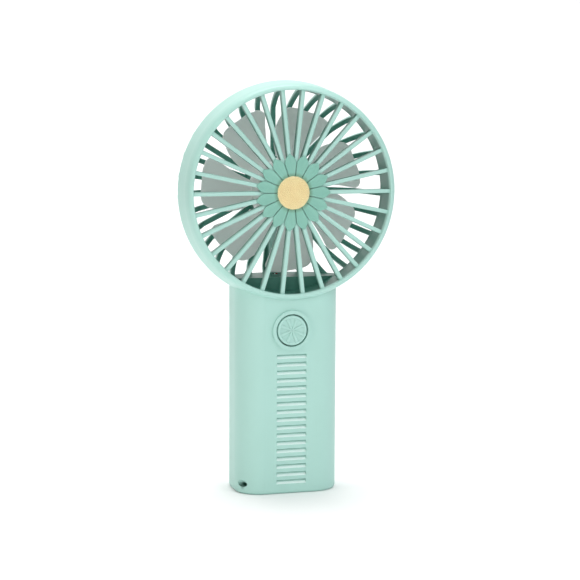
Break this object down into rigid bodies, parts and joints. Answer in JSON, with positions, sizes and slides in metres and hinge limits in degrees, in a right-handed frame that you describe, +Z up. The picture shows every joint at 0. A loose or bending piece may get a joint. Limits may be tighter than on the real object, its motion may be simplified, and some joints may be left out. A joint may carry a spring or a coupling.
{
  "type": "handheld electric fan",
  "caption": "Battery handheld fan: round caged head with straight ribs and a daisy badge on the hub, flat rounded handle with power button and grip ridges.",
  "frame": {"origin": "centre of the flat base of the handle", "axes": "+Z up the handle, the fan blows towards -Y, +X to the right seen from the front"},
  "size_m": [0.1016, 0.0382, 0.1912],
  "materials": {
    "shell": "satin moulded plastic, mint green",
    "petals": "satin moulded plastic, deeper mint",
    "flower_centre": "matte moulded plastic, cream yellow",
    "blades": "semi-gloss moulded plastic, light grey",
    "steel": "plated steel",
    "core_steel": "stacked electrical steel",
    "bronze": "copper alloy",
    "copper_wire": "enamelled copper wire",
    "magnet": "sintered ferrite",
    "black_plastic": "black moulded plastic",
    "circuit_board": "green solder resist",
    "cell_wrap": "shrink wrap over a steel can",
    "nickel": "nickel plate",
    "foam": "closed cell foam",
    "red_wire": "soft insulation",
    "black_wire": "soft insulation"
  },
  "bodies": {
    "housing": {"front_shell": "shell", "rear_shell": "shell", "front_grille": "shell", "wire_cover": "shell", "flower_petals": "petals", "flower_centre": "flower_centre", "motor_can": "steel", "housing_screws": "steel", "board_screws": "steel", "charging_socket": "steel", "motor_bushes": "bronze", "motor_brushes": "bronze", "motor_terminals": "bronze", "motor_magnets": "magnet", "motor_end_cap": "black_plastic", "power_switch": "black_plastic", "socket_tongue": "black_plastic", "board_parts": "black_plastic", "main_board": "circuit_board", "charge_board": "circuit_board", "battery_cell": "cell_wrap", "battery_pin": "nickel", "battery_tabs": "nickel", "foam_block": "foam", "motor_lead_red": "red_wire", "battery_lead_red": "red_wire", "charge_lead_red": "red_wire", "motor_lead_black": "black_wire", "battery_lead_black": "black_wire", "charge_lead_black": "black_wire"},
    "rotor": {"impeller": "blades", "motor_shaft": "steel", "armature_core": "core_steel", "armature_windings": "copper_wire", "commutator": "bronze", "commutator_core": "black_plastic", "shaft_washers": "steel"},
    "button": {"button_cap": "shell", "switch_plunger": "black_plastic"}
  },
  "joints": [
    {"name": "rotor_spin", "type": "hinge", "parent": "housing", "child": "rotor", "pos_m": [0, 0, 0.1404], "axis": [0, 1, 0], "continuous": true},
    {"name": "button_press", "type": "slide", "parent": "housing", "child": "button", "axis": [0, 1, 0], "range_m": [0, 0.0004], "stiffness_N_per_m": 1500}
  ]
}
